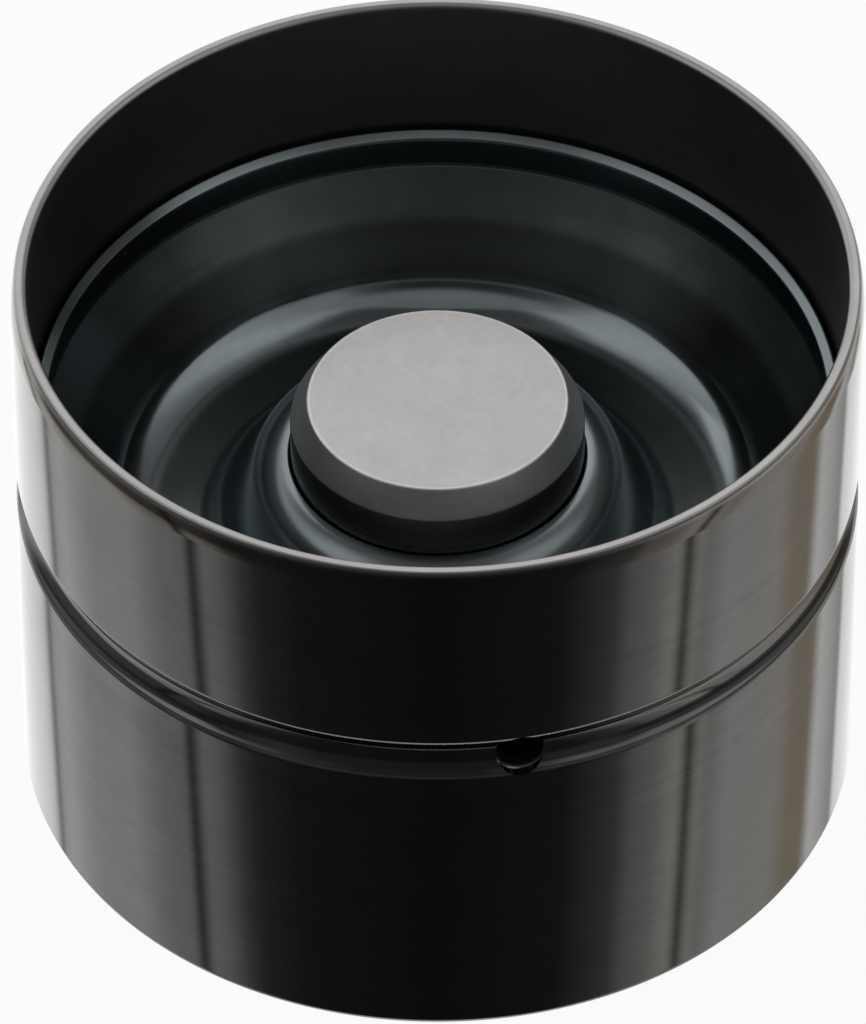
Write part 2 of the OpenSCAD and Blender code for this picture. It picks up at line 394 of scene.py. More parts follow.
@dataclass(frozen=True)
class GroundSteel(SteelFinish):
    """Hardened steel with a matt ground end face, a satin chamfer and a side darkened as painted shade.

    Attributes:
        face_r: Radius of the ground face.
        face_z: Height of the ground face.
        side_z: Height where the chamfer meets the side.
        chamfer: Colour of the chamfer.
        side: Colour of the side, dark as painted shade.
    """

    face_r: float
    face_z: float
    side_z: float
    chamfer: Color = (0.50, 0.50, 0.49)
    side: Color = (0.13, 0.13, 0.128)

    def surface(self, graph: Graph) -> tuple[Value, Value, Value]:
        """The face is pale and matt, the chamfer satin, the rest smooth and darkened as painted shade."""
        place, radius, height, _ = graph.turned_place()
        grain = graph.noise(place, (2600.0, 2600.0, 2600.0), 4.0)
        cloud = graph.noise(place, (700.0, 700.0, 700.0))
        lines = graph.noise(place, (120.0, 120.0, 9000.0))
        on_face = height.step(self.face_z - 0.06, self.face_z - 0.02)
        above_side = height.step(self.side_z - 0.06, self.side_z + 0.04)
        # Painted shade: the side below the chamfer gets a dark colour.
        color = graph.mix(above_side, self.side, self.chamfer)
        color = graph.mix(on_face, color, self.color)
        # Painted highlight: a thin ring at the face's edge is lightened.
        face_edge_highlight = radius.band(self.face_r - 0.1, self.face_r + 0.05, 0.05)
        face_edge_highlight = face_edge_highlight * height.step(self.face_z - 0.2, self.face_z - 0.1)
        color = graph.tinted(color, 0.80 + cloud * 0.2 + grain * 0.2 + face_edge_highlight * 0.3)
        roughness = 0.22 + lines * 0.1 + above_side * 0.16 + on_face * (self.roughness - 0.43)
        relief = on_face * (grain * 0.7 + cloud * 0.3) + (1.0 - on_face) * lines * 0.4
        return color, roughness, graph.bump(relief, distance=4e-6)


@dataclass(frozen=True)
class BrightSteel(SteelFinish):
    """Bright wire, ground pin or polished ball, with fine marks.

    Attributes:
        marks: How strongly the marks change the roughness.
    """

    marks: float = 0.2

    def surface(self, graph: Graph) -> tuple[Value, Value, Value]:
        """Fine marks in no direction."""
        place, _, _, _ = graph.turned_place()
        fine = graph.noise(place, (3000.0, 3000.0, 3000.0))
        color = graph.tinted(self.color, 0.9 + fine * 0.2)
        return color, self.roughness + (fine - 0.5) * self.marks, graph.bump(fine, distance=1e-6)


@dataclass(frozen=True)
class Corner:
    """Corner of a turned section.

    Attributes:
        r: Distance from the axis.
        z: Height.
        rounding: Radius that rounds the corner, or 0.
        inside: On a bent sheet, the hidden side's radius where it isn't one thickness tighter or wider.
    """

    r: float
    z: float
    rounding: float = 0.0
    inside: float | None = None

    def place(self) -> Vector:
        """Place in the section's plane, in metres."""
        return Vector((self.r * MM, 0.0, self.z * MM))


class Workshop:
    """Makes meshes by turning, bending, coiling and cutting."""

    @staticmethod
    def section(bm: Mesh, corners: Sequence[Corner], closed: bool) -> None:
        """Draw a section as a wire and round its corners.

        Args:
            bm: The mesh that gets the wire.
            corners: The section's corners, in order.
            closed: Whether the last corner joins the first.
        """
        verts = [bm.verts.new(corner.place()) for corner in corners]
        pairs = list(zip(verts, verts[1:]))
        if closed:
            pairs.append((verts[-1], verts[0]))
        for first, second in pairs:
            bm.edges.new((first, second))
        for index, corner in enumerate(corners):
            if corner.rounding <= 0.0:
                continue
            before = corners[index - 1].place() - corner.place()
            after = corners[(index + 1) % len(corners)].place() - corner.place()
            turn = math.pi - before.angle(after)
            offset = corner.rounding * MM * math.tan(turn / 2)
            segments = max(2, math.ceil(turn / ROUNDING_STEP))
            bmesh.ops.bevel(bm, geom=[verts[index]], offset=offset, offset_type="OFFSET",
                            affect="VERTICES", segments=segments, profile=0.5, material=-1)

    @staticmethod
    def finish(bm: Mesh, name: str) -> Piece:
        """Merge doubles, turn the faces outwards and make the object.

        Args:
            bm: The mesh, which is freed.
            name: The piece's name.

        Returns:
            The new object, smooth with sharp edges kept.
        """
        bmesh.ops.remove_doubles(bm, verts=bm.verts[:], dist=MERGE_DISTANCE)
        bmesh.ops.recalc_face_normals(bm, faces=bm.faces[:])
        mesh = bpy.data.meshes.new(name)
        bm.to_mesh(mesh)
        bm.free()
        piece = bpy.data.objects.new(name, mesh)
        bpy.context.scene.collection.objects.link(piece)
        Workshop.smooth(piece)
        return piece

    @staticmethod
    def smooth(piece: Piece) -> None:
        """Shade a piece smooth, with its sharp edges kept."""
        piece.data.polygons.foreach_set("use_smooth", [True] * len(piece.data.polygons))
        piece.data.set_sharp_from_angle(angle=SHARP_ANGLE)

    @staticmethod
    def turned(name: str, corners: Sequence[Corner], steps: int = SPIN_STEPS) -> Piece:
        """Turn a section round the axis.

        Args:
            name: The piece's name.
            corners: The section's corners, from axis to axis or all round.
            steps: Faces round the axis.

        Returns:
            The turned piece.
        """
        bm = bmesh.new()
        Workshop.section(bm, corners, closed=corners[0].r > 0.0)
        bmesh.ops.spin(bm, geom=bm.verts[:] + bm.edges[:], cent=(0.0, 0.0, 0.0), axis=(0.0, 0.0, 1.0),
                       angle=2 * math.pi, steps=steps, use_merge=True)
        return Workshop.finish(bm, name)

    @staticmethod
    def sheet(name: str, corners: Sequence[Corner], thickness: float) -> Piece:
        """Turn a bent sheet.

        Args:
            name: The piece's name.
            corners: Corners of the shown side, which faces up or in, from the outer edge inwards.
            thickness: The sheet's thickness, which goes to the hidden side.

        Returns:
            The bent sheet.
        """
        behind = [Workshop.behind(corners, index, thickness) for index in range(len(corners))]
        return Workshop.turned(name, [*corners, *reversed(behind)])

    @staticmethod
    def behind(corners: Sequence[Corner], index: int, thickness: float) -> Corner:
        """Find the corner of a bent sheet's hidden side that lies behind a corner of its shown side.

        Args:
            corners: Corners of the shown side.
            index: Which corner.
            thickness: The sheet's thickness.

        Returns:
            The hidden corner, whose bend is one thickness tighter or wider.
        """
        here = Vector((corners[index].r, corners[index].z))
        ways = [
            (Vector((second.r, second.z)) - Vector((first.r, first.z))).normalized()
            for first, second in zip(corners, corners[1:])
        ]
        way_in = ways[max(index - 1, 0)]
        way_out = ways[min(index, len(ways) - 1)]
        normal_in = Vector((-way_in.y, way_in.x))
        normal_out = Vector((-way_out.y, way_out.x))
        place = here + (normal_in + normal_out) * (thickness / (1.0 + normal_in.dot(normal_out)))
        if index in (0, len(corners) - 1):
            return Corner(place.x, place.y)
        if corners[index].inside is not None:
            return Corner(place.x, place.y, corners[index].inside)
        inner_bend = way_in.cross(way_out) > 0.0
        rounding = corners[index].rounding + (-thickness if inner_bend else thickness)
        return Corner(place.x, place.y, max(rounding, LEAST_ROUNDING))

    @staticmethod
    def cut(piece: Piece, cutter: Piece) -> None:
        """Take a cutter's solid out of a piece and delete the cutter."""
        modifier = piece.modifiers.new("cut", "BOOLEAN")
        modifier.operation = "DIFFERENCE"
        modifier.solver = "EXACT"
        modifier.object = cutter
        bpy.context.view_layer.update()
        shown = piece.evaluated_get(bpy.context.evaluated_depsgraph_get())
        mesh = bpy.data.meshes.new_from_object(shown)
        piece.modifiers.clear()
        piece.data = mesh
        mesh.name = piece.name
        bpy.data.objects.remove(cutter, do_unlink=True)
        Workshop.smooth(piece)

    @staticmethod
    def bent_wire(
        radius: float, wire: float, height: float, sides: int, stages: Sequence[tuple[float, float, int]]
    ) -> Mesh:
        """Bend a wire round the axis, from the +X side on.

        Args:
            radius: Mean radius of the bend.
            wire: Diameter of the wire.
            height: Height of the wire's middle at its start.
            sides: Faces round the wire.
            stages: Each stage's angle in radians, rise and steps.

        Returns:
            A mesh of the wire.
        """
        bm = bmesh.new()
        place = Matrix.Translation((radius * MM, 0.0, height * MM))
        upright = Matrix.Rotation(math.pi / 2, 4, "X")
        bmesh.ops.create_circle(
            bm, cap_ends=True, segments=sides, radius=wire / 2 * MM, matrix=place @ upright
        )
        moving = bm.verts[:] + bm.edges[:] + bm.faces[:]
        for angle, rise, steps in stages:
            swept = bmesh.ops.spin(bm, geom=moving, cent=(0.0, 0.0, 0.0), axis=(0.0, 0.0, 1.0),
                                   dvec=(0.0, 0.0, rise * MM / steps), angle=angle, steps=steps)
            moving = swept["geom_last"]
        return bm

    @staticmethod
    def coil(
        name: str, radius: float, wire: float, low: float, high: float, active: float
    ) -> Piece:
        """Coil a compression spring with closed and ground ends.

        Args:
            name: The piece's name.
            radius: Mean radius of the coil.
            wire: Diameter of the wire.
            low: Height of its ground lower end.
            high: Height of its ground upper end.
            active: Turns between the closed end turns.

        Returns:
            The spring.
        """
        end_rise = wire * COIL_END_PITCH
        sunk = wire * COIL_GROUND_SHARE
        rises = ((1.0, end_rise), (active, high - low - 2 * sunk - 2 * end_rise), (1.0, end_rise))
        stages = [(turns * 2 * math.pi, rise, round(turns * COIL_STEPS)) for turns, rise in rises]
        bm = Workshop.bent_wire(radius, wire, low + sunk, 16, stages)
        for height, side in ((low, -1.0), (high, 1.0)):
            geom = bm.verts[:] + bm.edges[:] + bm.faces[:]
            ground = bmesh.ops.bisect_plane(bm, geom=geom, plane_co=(0.0, 0.0, height * MM),
                                            plane_no=(0.0, 0.0, side), clear_outer=True)
            rim = [item for item in ground["geom_cut"] if isinstance(item, bmesh.types.BMEdge)]
            bmesh.ops.holes_fill(bm, edges=rim, sides=0)
        return Workshop.finish(bm, name)


class Motion(Enum):
    """Bodies that a piece can ride on."""

    BUCKET = "bucket"
    PLUNGER = "plunger"
    BALL = "ball"


def dress(piece: Piece, finish: SteelFinish, motion: Motion, node: str) -> None:
    """Give a new piece its finish, its body and the solid that it stands for.

    Args:
        piece: The piece.
        finish: Its finish.
        motion: The body that it rides on.
        node: The solid that it replaces.
    """
    piece.data.materials.clear()
    piece.data.materials.append(finish.material())
    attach(piece, motion.value)
    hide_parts(node)
    log.info("%s: %d faces on %s", piece.name, len(piece.data.polygons), motion.value)


def node_size(node: str) -> tuple[float, float, float]:
    """Outer radius, lowest and highest height of a solid, in millimetres."""
    low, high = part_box(node)
    return max(high[0], high[1], -low[0], -low[1]) / MM, low[2] / MM, high[2] / MM


@dataclass
class Bucket:
    """Outer housing: cam face, ground wall with its round oil groove, and the tapered rim.

    Attributes:
        base_t: Thickness of the cam face.
        skirt_wall: Wall above the guide's seat.
        lower_wall: Wall below it.
        seat: Heights of the seat's upper and lower edges.
        cam_edge: Rounding of the cam face's edge.
        taper_h: Height of the rim's taper.
        taper: How far in from the wall and down from the rim the taper's corners lie, and their roundings.
        inner_edge: Rounding of the rim's inner edge.
        groove_z: Height of the groove's middle.
        groove_w: Width of the groove.
        groove_d: Depth of the groove.
        groove_edge: Rounding of the groove's edges.
        feed_d: Diameter of the oil feed hole.
        feed_edge: Width of the broken edge round it.
        overflow: Width, depth, and inner and outer ends of the channel in the base.
        edge_break: Rounding of the edge below the taper.
    """

    base_t: float = 2.6
    skirt_wall: float = 0.7
    lower_wall: float = 1.2
    seat: Pair = (17.30, 16.55)
    cam_edge: float = 0.5
    taper_h: float = 0.95
    taper: tuple[tuple[float, float, float], ...] = (
        (0.036, 0.538, 2.0),
        (0.14, 0.089, 0.25),
        (0.22, 0.0, 0.1),
    )
    inner_edge: float = 0.3
    groove_z: float = 15.5
    groove_w: float = 1.95
    groove_d: float = 0.4
    groove_edge: float = 0.4
    feed_d: float = 1.9
    feed_edge: float = 0.12
    overflow: tuple[float, float, float, float] = (2.4, 0.6, 1.5, 7.9)
    edge_break: float = 0.06

    def build(self) -> None:
        """Turn the bucket and cut its oil ways."""
        wall_r, _, rim_z = node_size("bucket")
        skirt_r = wall_r - self.skirt_wall
        lower_r = wall_r - self.lower_wall
        corners = [
            Corner(0.0, 0.0),
            Corner(wall_r, 0.0, self.cam_edge),
            *self._groove(wall_r),
            Corner(wall_r, rim_z - self.taper_h, self.edge_break),
            *(Corner(wall_r - inwards, rim_z - down, rounding) for inwards, down, rounding in self.taper),
            Corner(skirt_r, rim_z, self.inner_edge),
            Corner(skirt_r, self.seat[0]),
            Corner(lower_r, self.seat[1]),
            Corner(lower_r, self.base_t, rounding=1.2),
            Corner(0.0, self.base_t),
        ]
        piece = Workshop.turned("bucket_shell", corners)
        self._cut_feed_hole(piece, wall_r)
        self._cut_overflow(piece)
        half = self.groove_w / 2
        finish = BlackSteel("black_ground_steel", "blackened_steel", (0.20, 0.197, 0.19), 0.075,
                            rim_z, rim_z - self.taper_h, skirt_r,
                            (self.groove_z - half, self.groove_z + half),
                            (self.groove_z, self.feed_d / 2))
        dress(piece, finish, Motion.BUCKET, "bucket")

    def _groove(self, wall_r: float) -> list[Corner]:
        """Corners of the round groove: its two edges, and between them the corner that its floor rounds.

        Args:
            wall_r: Outside radius of the wall.

        Returns:
            The three corners, from the lower one up.
        """
        half = self.groove_w / 2
        floor = (half ** 2 + self.groove_d ** 2) / (2 * self.groove_d)
        lean = math.asin(half / floor)
        apex_r = wall_r - self.groove_d + floor - floor / math.cos(lean)
        edge_share = self.groove_edge * math.tan(lean / 2) / (floor * math.tan(lean))
        # A hundredth of each side stays straight between the floor's rounding and the edge's.
        floor_share = 0.99 - edge_share
        return [
            Corner(wall_r, self.groove_z - half, self.groove_edge),
            Corner(apex_r, self.groove_z, floor * floor_share),
            Corner(wall_r, self.groove_z + half, self.groove_edge),
        ]

    def _cut_feed_hole(self, piece: Piece, wall_r: float) -> None:
        """Drill the oil feed hole through the wall on the -Y side, with its edge broken."""
        floor_r = wall_r - self.groove_d
        inner_r = wall_r - 3 * self.lower_wall
        mouth = self.feed_d / 2 + self.feed_edge
        drill = Workshop.turned("feed_drill", [
            Corner(0.0, inner_r),
            Corner(self.feed_d / 2, inner_r),
            Corner(self.feed_d / 2, floor_r - self.feed_edge),
            Corner(mouth, floor_r),
            Corner(mouth, wall_r + self.lower_wall),
            Corner(0.0, wall_r + self.lower_wall),
        ], steps=72)
        lay_down = Matrix.Rotation(math.pi / 2, 4, "X")
        drill.data.transform(Matrix.Translation((0.0, 0.0, self.groove_z * MM)) @ lay_down)
        Workshop.cut(piece, drill)

    def _cut_overflow(self, piece: Piece) -> None:
        """Mill the channel that lets oil pass under the piston."""
        width, depth, inner, outer = self.overflow
        bm = bmesh.new()
        bmesh.ops.create_circle(bm, cap_ends=True, segments=48, radius=width / 2 * MM)
        far_half = [vert for vert in bm.verts if vert.co.x > 0.0]
        bmesh.ops.translate(bm, verts=far_half, vec=((outer - inner) * MM, 0.0, 0.0))
        made = bmesh.ops.extrude_face_region(bm, geom=bm.faces[:])
        top = [item for item in made["geom"] if isinstance(item, bmesh.types.BMVert)]
        bmesh.ops.translate(bm, verts=top, vec=(0.0, 0.0, 2 * depth * MM))
        bmesh.ops.translate(bm, verts=bm.verts[:], vec=(inner * MM, 0.0, (self.base_t - depth) * MM))
        Workshop.cut(piece, Workshop.finish(bm, "channel_mill"))


@dataclass
class Guide:
    """Drawn sheet guide: flange, sloping web, trough, hub and the sleeve that is folded down inside it.

    Attributes:
        sheet_t: Thickness of the sheet.
        web_edge_z: Height where the flange meets the web, on the shown side.
        lip: How far the flange's top is turned in, and the height of that lip.
        lip_w: Width of the lip.
        trough_r: Radius where the web's slope meets the floor, on the shown side.
        trough_z: Height of the floor.
        trough_bend: Bend between the web and the floor.
        hub_foot_r: Radius of the hub's foot, on the shown side.
        hub_foot_bend: Bend at the hub's foot.
        hub_top_r: Radius of the hub's outside at its top.
        hub_top_z: Height of the hub's top.
        hub_crown: Rounding from the hub's side to its top.
        sleeve_gap: Gap between the sleeve and the plunger.
        sleeve_fold: Rounding from the hub's top into the sleeve.
    """

    sheet_t: float = 0.5
    web_edge_z: float = 17.49
    lip: Pair = (0.19, 0.22)
    lip_w: float = 0.45
    trough_r: float = 12.91
    trough_z: float = 12.4
    trough_bend: float = 2.4
    hub_foot_r: float = 9.16
    hub_foot_bend: float = 1.3
    hub_top_r: float = 7.29
    hub_top_z: float = 16.2
    hub_crown: float = 1.65
    sleeve_gap: float = 0.03
    sleeve_fold: float = 0.12

    def build(self) -> None:
        """Bend the sheet."""
        outer_r, sleeve_z, top_z = node_size("guide")
        plunger_r, _, _ = node_size("inner_housing")
        flange_r = outer_r - self.sheet_t
        lip_r = flange_r - self.lip[0]
        lip_z = top_z - self.lip[1]
        corners = [
            Corner(lip_r + self.lip_w, top_z, rounding=0.08),
            Corner(lip_r, lip_z, rounding=0.16),
            Corner(flange_r, self.web_edge_z, rounding=0.3),
            Corner(self.trough_r, self.trough_z, self.trough_bend),
            Corner(self.hub_foot_r, self.trough_z, self.hub_foot_bend),
            Corner(self.hub_top_r, self.hub_top_z, self.hub_crown, inside=0.3),
            Corner(plunger_r + self.sleeve_gap, self.hub_top_z, self.sleeve_fold, inside=0.05),
            Corner(plunger_r + self.sleeve_gap, sleeve_z),
        ]
        piece = Workshop.sheet("guide_sheet", corners, self.sheet_t)
        finish = DrawnSteel("drawn_blue_steel", "drawn_steel", (0.258, 0.294, 0.306), 0.25,
                            flange_r, flange_z=(self.web_edge_z + 0.15, lip_z - 0.12),
                            burnished=(self.trough_r - 0.7, self.trough_r + 0.8),
                            dark=(self.hub_foot_r + 0.4, self.trough_r + 2.1))
        dress(piece, finish, Motion.BUCKET, "guide")


@dataclass
class Plunger:
    """Inner housing that bears on the valve stem, and the open wire ring that keeps it in the guide.

    Attributes:
        face_r: Radius of the ground face.
        chamfer_h: Height of the chamfer round it.
        bore_r: Radius of the piston's bore.
        end_wall: Thickness behind the face.
        ring_r: Mean radius of the retaining ring.
        ring_room: Room round its wire in the groove.
        ring_opening: Angle of the ring's opening, in degrees.
    """

    face_r: float = 5.4
    chamfer_h: float = 1.1
    bore_r: float = 4.5
    end_wall: float = 2.2
    ring_r: float = 6.05
    ring_room: float = 0.04
    ring_opening: float = 24.0

    def build(self) -> None:
        """Turn the inner housing and bend its ring."""
        self._housing()
        self._ring()

    def _housing(self) -> None:
        """Turn the inner housing."""
        outer_r, low_z, face_z = node_size("inner_housing")
        _, ring_low, ring_high = node_size("retaining_ring")
        groove_r = self.ring_r - (ring_high - ring_low) / 2 - self.ring_room
        chamber_z = face_z - self.end_wall
        piece = Workshop.turned("plunger_housing", [
            Corner(0.0, face_z),
            Corner(self.face_r, face_z, rounding=0.1),
            Corner(outer_r, face_z - self.chamfer_h, rounding=0.25),
            Corner(outer_r, ring_high + self.ring_room, rounding=0.05),
            Corner(groove_r, ring_high + self.ring_room),
            Corner(groove_r, ring_low - self.ring_room),
            Corner(outer_r, ring_low - self.ring_room, rounding=0.05),
            Corner(outer_r, low_z, rounding=0.15),
            Corner(self.bore_r, low_z, rounding=0.15),
            Corner(self.bore_r, chamber_z, rounding=0.4),
            Corner(0.0, chamber_z),
        ])
        finish = GroundSteel("ground_steel", "ground_steel", (0.62, 0.615, 0.605), 0.46,
                             self.face_r, face_z, face_z - self.chamfer_h)
        dress(piece, finish, Motion.PLUNGER, "inner_housing")

    def _ring(self) -> None:
        """Bend the retaining ring, open on the +Y side."""
        _, low, high = node_size("retaining_ring")
        stage = (math.radians(360 - self.ring_opening), 0.0, SMALL_SPIN_STEPS)
        bm = Workshop.bent_wire(self.ring_r, high - low, (low + high) / 2, 24, [stage])
        turn = Matrix.Rotation(math.radians(90 + self.ring_opening / 2), 4, "Z")
        bmesh.ops.transform(bm, matrix=turn, verts=bm.verts[:])
        piece = Workshop.finish(bm, "retaining_wire")
        finish = BrightSteel("ring_wire", "spring_steel", (0.36, 0.36, 0.37), 0.28)
        dress(piece, finish, Motion.PLUNGER, "retaining_ring")


@dataclass
class CheckValve:
    """Piston with its oil store, and the ball, cage and ball spring on its crown.

    Attributes:
        store_r: Radius of the oil store.
        crown_t: Thickness of the piston's crown.
        port_r: Radius of the port that the ball closes.
        cage_t: Thickness of the cage's sheet.
        cage_r: Outside radius of the cage's cap.
        vent_r: Radius of the hole in the cage's top.
        windows: Oil windows round the cage.
        window_w: Width of a window.
        window_z: Lowest and highest heights of a window.
        spring_r: Mean radius of the ball spring.
        spring_wire: Wire of the ball spring.
        spring_turns: Its active turns.
        lift: How far the ball lifts; not used.
    """

    store_r: float = 3.0
    crown_t: float = 2.0
    port_r: float = 1.15
    cage_t: float = 0.35
    cage_r: float = 2.3
    vent_r: float = 0.5
    windows: int = 3
    window_w: float = 1.5
    window_z: Pair = (10.9, 12.9)
    spring_r: float = 1.0
    spring_wire: float = 0.2
    spring_turns: float = 2.0
    lift: float = 0.3

    def build(self) -> None:
        """Make the four pieces."""
        self._piston()
        self._cage()
        self._ball()
        self._spring()

    def _piston(self) -> None:
        """Turn the piston with its port and seat."""
        outer_r, low, crown_z = node_size("piston")
        ball_r, _, _ = node_size("check_ball")
        store_top = crown_z - self.crown_t - (self.store_r - self.port_r) * 0.6
        piece = Workshop.turned("valve_piston", [
            Corner(self.store_r, low),
            Corner(outer_r, low, rounding=0.3),
            Corner(outer_r, crown_z, rounding=0.3),
            Corner(ball_r, crown_z),
            Corner(self.port_r, crown_z - (ball_r - self.port_r)),
            Corner(self.port_r, crown_z - self.crown_t),
            Corner(self.store_r, store_top, rounding=0.3),
        ], SMALL_SPIN_STEPS)
        finish = BrightSteel("piston_steel", "ground_steel", (0.5, 0.5, 0.49), 0.22)
        dress(piece, finish, Motion.BUCKET, "piston")

    def _cage(self) -> None:
        """Stamp the cage and cut its windows."""
        flange_r, low, high = node_size("ball_cage")
        piece = Workshop.sheet("valve_cage", [
            Corner(flange_r, low + self.cage_t),
            Corner(self.cage_r, low + self.cage_t, rounding=0.13),
            Corner(self.cage_r, high, rounding=0.57),
            Corner(self.vent_r, high),
        ], self.cage_t)
        for index in range(self.windows):
            bottom, top = self.window_z
            bm = bmesh.new()
            size = Matrix.Diagonal((flange_r * MM, self.window_w * MM, (top - bottom) * MM, 1.0))
            place = Matrix.Translation((flange_r / 2 * MM, 0.0, (bottom + top) / 2 * MM))
            turn = Matrix.Rotation(2 * math.pi * index / self.windows, 4, "Z")
            bmesh.ops.create_cube(bm, size=1.0, matrix=turn @ place @ size)
            Workshop.cut(piece, Workshop.finish(bm, "window_punch"))
        finish = BrightSteel("cage_steel", "drawn_steel", (0.4, 0.4, 0.4), 0.3)
        dress(piece, finish, Motion.BUCKET, "ball_cage")

    def _ball(self) -> None:
        """Make the ball."""
        radius, low, _ = node_size("check_ball")
        bm = bmesh.new()
        bmesh.ops.create_uvsphere(bm, u_segments=96, v_segments=48, radius=radius * MM,
                                  matrix=Matrix.Translation((0.0, 0.0, (low + radius) * MM)))
        piece = Workshop.finish(bm, "valve_ball")
        finish = BrightSteel("ball_steel", "polished_steel", (0.62, 0.62, 0.63), 0.08, marks=0.05)
        dress(piece, finish, Motion.BALL, "check_ball")

    def _spring(self) -> None:
        """Coil the ball spring at its solid's length; it shortens as the ball lifts, which is not done
        here.
        """
        _, low, high = node_size("ball_spring")
        piece = Workshop.coil("valve_spring", self.spring_r, self.spring_wire, low, high, self.spring_turns)
        finish = BrightSteel("fine_wire", "spring_steel", (0.45, 0.45, 0.46), 0.25)
        dress(piece, finish, Motion.BUCKET, "ball_spring")
        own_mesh(piece)


@dataclass
class ReturnSpring:
    """Spring that pushes the plunger out.

    Attributes:
        radius: Mean radius of the coil.
        wire: Diameter of the wire.
        turns: Active turns.
        stroke: How far the plunger can shorten it; not used.
    """

    radius: float = 3.35
    wire: float = 0.7
    turns: float = 2.5
    stroke: float = 2.5

    def build(self) -> None:
        """Coil the spring at its solid's length; it shortens as the plunger goes in, which is not done
        here.
        """
        _, low, high = node_size("return_spring")
        piece = Workshop.coil("return_coil", self.radius, self.wire, low, high, self.turns)
        finish = BrightSteel("spring_wire", "spring_steel", (0.38, 0.38, 0.39), 0.27)
        dress(piece, finish, Motion.BUCKET, "return_spring")
        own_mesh(piece)


@dataclass(frozen=True)
class Tone:
    """Brightness of the studio in one direction round the lifter.

    Attributes:
        bearing: Degrees from the camera's side, to the right positive.
        level: Brightness.
        warmth: From 0, neutral, to 1, brown.
    """

    bearing: float
    level: float
    warmth: float = 0.0

    def stop(self) -> tuple[float, Color]:
        """The tone as a stop of a ramp that goes once round."""
        red = self.level * (1.0 + WARM_RED * self.warmth)
        blue = self.level * (1.0 - WARM_BLUE * self.warmth)
        return (self.bearing + 180.0) / 360.0, (red, self.level, blue)


def rising(rise: Value, low: float, high: float) -> Value:
    """Mask from 0 at one elevation to 1 at another, in degrees; rise is the sine of the elevation."""
    return rise.step(math.sin(math.radians(low)), math.sin(math.radians(high)))


@dataclass(frozen=True)
class Patch:
    """Soft-edged part of the studio that covers what is behind it.

    Attributes:
        level: Brightness.
        edges: For each edge, the elevations in degrees where it starts and where it covers fully.
        turns: First and last bearing, as shares of one turn that starts straight behind the lifter.
        soft: How far its sides fade, as a share of one turn.
        share: How much it covers.
    """

    level: float
    edges: tuple[Pair, ...]
    turns: Pair = (-1.0, 2.0)
    soft: float = 0.02
    share: float = 1.0

    def mask(self, turn: Value, rise: Value) -> Value:
        """Find where the patch covers.

        Args:
            turn: The bearing, as a share of one turn.
            rise: The sine of the elevation.

        Returns:
            The mask.
        """
        made = turn.band(*self.turns, self.soft) * self.share
        for low, high in self.edges:
            made = made * rising(rise, low, high)
        return made


